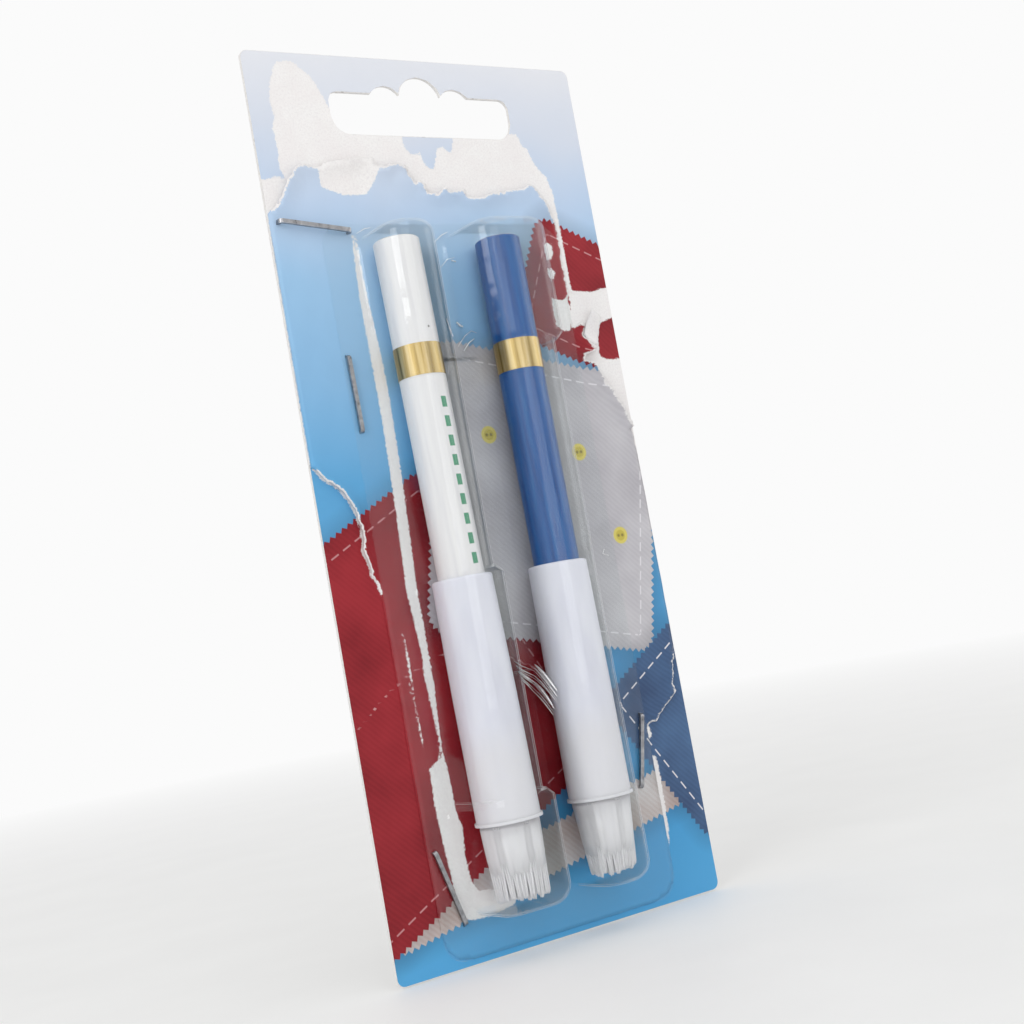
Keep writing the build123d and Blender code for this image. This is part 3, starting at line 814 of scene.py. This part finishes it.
def stretched_noise(add, parts, along_mm, round_mm, detail=3.0):
    """Noise drawn out along the pencil."""
    scaled = [add("Math:MULTIPLY", part, 1 / size)
              for part, size in zip(parts, (along_mm, round_mm, round_mm))]
    return add("TexNoise", add("CombineXYZ", *scaled), Scale=1.0, Detail=detail)


print("white axis:", [round(v, 4) for v in pencil_axes("white")[3]])

# %% Lacquered wood
PENCIL_END, SHOULDER = 107.96, 37.3
STITCH_TURN, STITCH_HALF, STITCH_BEAT = 2.9, 0.13, 1.6
STITCH_LOW, STITCH_HIGH = 53.0, 81.9
KNOCK_ASIDE, KNOCK_BACK, KNOCK_ALONG = 0.73, -3.78, 92.5


def lacquer_material(side, light, mid, dark, marks):
    """Glossy lacquer over wood; bare wood on the cone and the sawn end."""
    material, add = new_material(side + "_gloss_lacquer_on_basswood")
    parts = pencil_coordinates(add, side)
    streak = stretched_noise(add, parts, 14.0, 0.9)
    colour = add("ValToRGB", streak, stops=[(0.3, dark), (0.5, mid), (0.72, light)])
    for mask, paint in marks(add, parts):
        colour = add("Mix:RGBA", mask, colour, paint)
    grain = stretched_noise(add, parts, 9.0, 0.35, 4.0)
    wood = add("ValToRGB", grain, stops=[(0.3, "#c9a177"), (0.6, "#dfc09a")])
    above = add("MapRange", parts[0], PENCIL_END, PENCIL_END + 0.02)
    below = add("MapRange", parts[0], SHOULDER + 0.1, SHOULDER)
    bare = add("Math:MAXIMUM", above, below)
    colour = add("Mix:RGBA", bare, colour, wood)
    rough = add("MapRange", bare, 0.0, 1.0, 0.3, 0.75)
    orange_peel = stretched_noise(add, parts, 3.0, 1.0)
    solid_surface(add, colour, rough, orange_peel, 0.25, 0.08, IOR=1.5, Specular_IOR_Level=0.4)
    return material


def white_marks(add, parts):
    """A row of green stitches along the barrel, and one small knock in the lacquer."""
    gap = add("Math:ABSOLUTE", add("Math:SUBTRACT", parts[3], STITCH_TURN))
    stitches = add("MapRange", gap, STITCH_HALF + 0.03, STITCH_HALF)
    beat = add("Math:PINGPONG", parts[0], STITCH_BEAT)
    for value, zero_at, one_at in ((beat, 0.95, 0.85), (parts[0], STITCH_LOW, STITCH_LOW + 0.1),
                                   (parts[0], STITCH_HIGH + 0.1, STITCH_HIGH)):
        mask = add("MapRange", value, zero_at, one_at)
        stitches = add("Math:MULTIPLY", stitches, mask)
    start, aside, back, along = pencil_axes("white")
    knock = start * MILLI + aside * KNOCK_ASIDE + back * KNOCK_BACK + along * KNOCK_ALONG
    gap = add("VectorMath:DISTANCE", card_coordinates(add), tuple(knock))
    speck = add("MapRange", gap, 0.26, 0.12)
    return [(stitches, "#3f8f6c"), (speck, "#77716f")]


white_lacquer = lacquer_material("white", "#eae7e7", "#e6e3e4", "#dfdcde", white_marks)
blue_lacquer = lacquer_material("blue", "#145d9c", "#024e92", "#003f7f", lambda add, parts: [])
for half in ("front_wood_half", "back_wood_half"):
    dress("white_" + half, white_lacquer)
    dress("blue_" + half, blue_lacquer)
print("lacquer:", white_lacquer.name, blue_lacquer.name)

# %% Chalk cores
def chalk_material(side, light, dark):
    """Pressed chalk powder: matt, gritty and soft."""
    material, add = new_material(side + "_pressed_chalk")
    grit = add("TexNoise", card_coordinates(add), Scale=1 / 0.25, Detail=5.0, Roughness=0.75)
    colour = add("ValToRGB", grit, stops=[(0.3, dark), (0.7, light)])
    solid_surface(add, colour, 0.95, grit, 0.5, 0.05, IOR=1.5)
    return material


dress("white_chalk_core", chalk_material("white", "#f2f1ee", "#dddbd6"))
dress("blue_chalk_core", chalk_material("blue", "#6f9fd0", "#4c7fb6"))
print("cores dressed")

# %% [markdown]
# ## Gold foil band
# The band is hot-stamped foil: aluminium under a yellow lacquer, pressed on a turning pencil. The
# roller leaves streaks along the pencil, so the surface is brushed metal with the grain upright.
# Its colour runs in upright streaks from dark to pale gold: partly those roller streaks, partly
# painted reflection streaks.

# %% Foil material
def foil_material(side):
    material, add = new_material(side + "_hot_stamped_gold_foil")
    streak = stretched_noise(add, pencil_coordinates(add, side), 30.0, 0.9)
    # Dark to pale gold streaks in the colour: partly the roller's streaks, partly painted
    # reflections
    colour = add("ValToRGB", streak, stops=[
        (0.32, "#8a7241"), (0.5, "#bba066"), (0.66, "#d3be91")])
    rough = add("MapRange", streak, 0.3, 0.7, 0.32, 0.50)
    solid_surface(add, colour, rough, streak, 0.35, 0.05, Metallic=1.0)
    return material


for side in ("white", "blue"):
    dress(side + "_foil_band", foil_material(side))
print("foil dressed")

# %% [markdown]
# ## Caps
# The caps are moulded from unfilled polyethylene: white, waxy and a little translucent, with soft
# highlights. Light enters it and spreads by about a millimetre, so subsurface scattering does
# more for it than a white colour alone.

# %% Cap and bristle plastic
def moulded_material(name, side, light, dark, rough_low, rough_high):
    """Waxy plastic; it looks warmer below, where the brush and its plug fill it."""
    material, add = new_material(name)
    parts = pencil_coordinates(add, side)
    cloud = stretched_noise(add, parts, 12.0, 3.0)
    colour = add("ValToRGB", cloud, stops=[(0.3, dark), (0.7, light)])
    filled = add("Math:MULTIPLY_ADD", cloud, 5.0, parts[0])
    filled = add("MapRange", filled, 25.0, 31.0, 0.55, 0.0)
    colour = add("Mix:RGBA", filled, colour, "#e2dedf")
    rough = add("MapRange", cloud, 0.3, 0.7, rough_low, rough_high)
    fine = stretched_noise(add, parts, 2.0, 0.5)
    solid_surface(add, colour, rough, fine, 0.15, 0.06, IOR=1.51, Subsurface_Weight=0.35,
                  Subsurface_Scale=1.2 * MM, Subsurface_Radius=(1.0, 1.0, 1.1))
    return material


brush_finish = {}
for side in ("white", "blue"):
    cap = moulded_material(side + "_cap_moulded_polyethylene", side, "#e4e3ec", "#d8d7e2",
                           0.30, 0.42)
    dress(side + "_cap_sleeve", cap)
    dress(side + "_brush_plug", cap)
    brush_finish[side] = moulded_material(side + "_brush_drawn_nylon", side, "#efedf4", "#e4e2eb",
                                          0.32, 0.45)
print("cap plastic:", len(brush_finish), "brush finishes")

# %% [markdown]
# ## Brushes
# Each cap ends in a brush for wiping chalk off cloth. The strands stand close together at the
# root and gather into tufts towards ragged tips. They could be hair particles, but those leave no
# mesh for other programs, so each strand is a small tube: a fine hexagonal grid is divided into
# flowers of seven strands, and each flower draws together over the last few millimetres.

# %% Strand grid
STRAND_SPACING, STRAND_SIDES = 0.44, 6
ROOT_REACH, ROOT_AT = 4.62, 12.3
FLOWER = {(0, 0), (1, 0), (-1, 0), (0, 1), (0, -1), (1, -1), (-1, 1)}


def flower_of(i, j):
    """Grid place of the middle of the seven-strand flower that this strand belongs to."""
    a, b = round((3 * i + j) / 7), round((2 * j - i) / 7)
    for da in (-1, 0, 1):
        for db in (-1, 0, 1):
            mid = (2 * (a + da) - (b + db), (a + da) + 3 * (b + db))
            if (i - mid[0], j - mid[1]) in FLOWER:
                return mid
    return (i, j)


def grid_place(i, j):
    """Place of a strand across the brush, in millimetres."""
    return np.array([i + j / 2, j * math.sqrt(3) / 2]) * STRAND_SPACING


print("flower of (3, 1):", flower_of(3, 1))

# %% Brush builder
STRAND_LEVELS = (ROOT_AT, 9.0, 6.5, 4.6, 3.0, 1.6, 0.5, 0.0)
STRAND_RADIUS, TIP_RADIUS, STRAND_THINNING, GATHER = 0.265, 0.06, 0.06, 0.42
MASS_REACH, MASS_TOP, MASS_SIDES = ROOT_REACH + 0.25, 12.0, 48
BACKING_RINGS = [(12.0, 4.76), (12.6, 4.78)]


def ring_faces(first, sides, rings):
    """Faces between rings of vertices that follow each other."""
    faces = []
    for k in range(rings - 1):
        for s in range(sides):
            a, b = first + k * sides + s, first + k * sides + (s + 1) % sides
            faces.append((a, b, b + sides, a + sides))
    return faces


def make_brush(side, taper, split_at, seed):
    """All strands of one brush, and the solid mass and round slice that they grow from."""
    rng = random.Random(seed)
    start, aside, back, along = pencil_axes(side)
    tufts, vertices, faces, strands = {}, [], [], 0

    def add_ring(middle, radius, sides, w):
        for s in range(sides):
            turn = 2 * math.pi * s / sides
            px, py = middle[0] + radius * math.cos(turn), middle[1] + radius * math.sin(turn)
            vertices.append(start + (aside * px + back * py + along * w) * MM)

    reach = int(ROOT_REACH / STRAND_SPACING) + 3
    for i in range(-reach, reach + 1):
        for j in range(-reach, reach + 1):
            root = grid_place(i, j)
            if np.hypot(*root) > ROOT_REACH:
                continue
            mid = flower_of(i, j)
            if mid not in tufts:
                tufts[mid] = (rng.uniform(0.0, 0.9), rng.uniform(-0.12, 0.12),
                              rng.uniform(-0.12, 0.12), rng.uniform(0.5, 1.0))
            low, dx, dy, split = tufts[mid]
            centre = grid_place(*mid)
            tip_at = low + rng.uniform(0.0, 0.22)
            first = len(vertices)
            for level in STRAND_LEVELS:
                w = tip_at + (ROOT_AT - tip_at) * level / ROOT_AT
                down = 1 - w / ROOT_AT
                gather = smooth_step(0.0, 1.0, (split_at * split - w) / (split_at * split))
                place = centre + (root - centre) * (1 - GATHER * float(gather))
                place = place * (1 - (1 - taper) * down) + np.array([dx, dy]) * down
                radius = STRAND_RADIUS - STRAND_THINNING * down if level else TIP_RADIUS
                add_ring(place, radius, STRAND_SIDES, w)
            faces += ring_faces(first, STRAND_SIDES, len(STRAND_LEVELS))
            faces.append(range(len(vertices) - STRAND_SIDES, len(vertices)))
            strands += 1

    first, rings = len(vertices), []
    for w, share in ((split_at * 0.45, 0.80), (split_at * 0.72, 0.955), (split_at, 1.0),
                     (MASS_TOP, 1.0)):
        rings.append((w, MASS_REACH * share * (1 - (1 - taper) * (1 - w / ROOT_AT))))
    rings += BACKING_RINGS
    for w, radius in rings:
        add_ring((0.0, 0.0), radius, MASS_SIDES, w)
    faces += ring_faces(first, MASS_SIDES, len(rings))
    faces.append(reversed(range(first, first + MASS_SIDES)))
    faces.append(range(len(vertices) - MASS_SIDES, len(vertices)))
    brush = mesh_piece(side + "_brush", vertices, faces, brush_finish[side])
    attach(brush, side + "_cap")
    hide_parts(side + "_bristles")
    print(side, "brush:", strands, "strands in", len(tufts), "tufts")


make_brush("white", 0.90, 7.0, 11)
make_brush("blue", 0.78, 5.5, 12)

# %% [markdown]
# ## Staples
# Office staples are flattened steel wire with a thin zinc coat: cool grey, drawn lengthwise, with
# fine scratches.

# %% Staple material
def staple_material():
    material, add = new_material("drawn_zinc_coated_steel_wire")
    wear = add("TexNoise", card_coordinates(add), Scale=1 / 0.8, Detail=5.0, Roughness=0.65)
    colour = add("ValToRGB", wear, stops=[(0.3, "#7d7d80"), (0.55, "#a3a3a6"), (0.8, "#c2c2c4")])
    rough = add("MapRange", wear, 0.3, 0.7, 0.25, 0.45)
    solid_surface(add, colour, rough, wear, 0.3, 0.03, Metallic=1.0)
    return material


steel = staple_material()
for staple in ("top_left_staple", "left_staple", "lower_left_staple", "right_staple"):
    dress(staple, steel)
print("staples dressed")

# %% [markdown]
# ## Floor, light and camera
# A pale table top under a soft white surround, as in a light tent. Broad area lamps give the
# print its even light and the film its highlights. The background is white through the light
# path, not through more light on the object.

# %% Floor
FLOOR_HALF, FLOOR_GAP = 4, 0.0003
FADE_FROM, FADE_TO = 0.14, 0.75


def floor_material():
    """Matt laminate that fades to the colour of the background away from the card."""
    material, add = new_material("pale_matt_laminate")
    place = add("TexCoord", output="Object")
    grain = add("TexNoise", place, Scale=40.0, Detail=3.0)
    colour = add("ValToRGB", grain, stops=[(0.3, "#f0f0ef"), (0.7, "#f3f3f2")])
    matt = add("BsdfPrincipled", Base_Color=colour, Roughness=0.6)
    glow = add("Emission", Color="#fbfbfb", Strength=1.0)
    away = add("VectorMath:LENGTH", place)
    fade = add("MapRange", away, FADE_FROM, FADE_TO, 0.10)
    seen = add("Math:MULTIPLY", fade, add("LightPath", output="Is Camera Ray"))
    add("OutputMaterial", add("MixShader", seen, matt, glow))
    return material


floor_z = on_card(0, 0).z - FLOOR_GAP
floor = mesh_piece("table_top", [(x * FLOOR_HALF, y * FLOOR_HALF, floor_z)
                                 for x, y in ((-1, -1), (1, -1), (1, 1), (-1, 1))],
                   [(0, 1, 2, 3)], floor_material())
print("floor at", round(on_card(0, 0).z, 4))

# %% Surround
world = bpy.data.worlds.new("light_tent")
bpy.context.scene.world = world
world.use_nodes = True
world.node_tree.nodes.clear()
add = partial(add_node, world.node_tree)
shown = add("LightPath", output="Is Camera Ray")
for ray in ("Is Glossy Ray", "Is Transmission Ray"):
    shown = add("Math:ADD", shown, add("LightPath", output=ray), use_clamp=True)
lit = add("Background", Color="#ffffff", Strength=0.62)
white = add("Background", Color="#fbfbfb", Strength=1.0)
add("OutputWorld", add("MixShader", shown, lit, white))
print("world:", world.name)

# %% Lamps
def add_lamp(name, place, size, watts):
    """A square area lamp that faces the middle of the card."""
    lamp = bpy.data.lights.new(name, "AREA")
    lamp.shape, lamp.size, lamp.energy = "SQUARE", size, watts
    holder = bpy.data.objects.new(name, lamp)
    bpy.context.scene.collection.objects.link(holder)
    holder.location = place
    aim = on_card(0, 75) - Vector(place)
    holder.rotation_euler = aim.to_track_quat("-Z", "Y").to_euler()


add_lamp("key_softbox", (-0.72, -0.36, 0.36), 0.45, 2.4)
add_lamp("front_softbox", (-0.22, -0.95, 0.12), 0.60, 1.2)
add_lamp("fill_softbox", (0.80, -0.28, 0.14), 0.40, 0.9)
add_lamp("top_softbox", (0.00, -0.30, 0.62), 0.40, 0.6)

# %% Camera
lens = bpy.data.cameras.new("camera")
lens.sensor_width, lens.lens = 36.0, 54.16
lens.clip_start = 0.01
camera = bpy.data.objects.new("camera", lens)
bpy.context.scene.collection.objects.link(camera)
aside, upward, backward = ((0.82663, -0.53414, -0.17714), (0.10390, -0.16449, 0.98089),
                           (-0.55307, -0.82924, -0.08048))
turn = Matrix((aside, upward, backward)).transposed()
camera.matrix_world = Matrix.Translation((-0.140694, -0.216526, -0.097497)) @ turn.to_4x4()
bpy.context.scene.camera = camera
bpy.context.scene.view_settings.view_transform = "Standard"
print("camera looks along", [round(-v, 3) for v in backward])
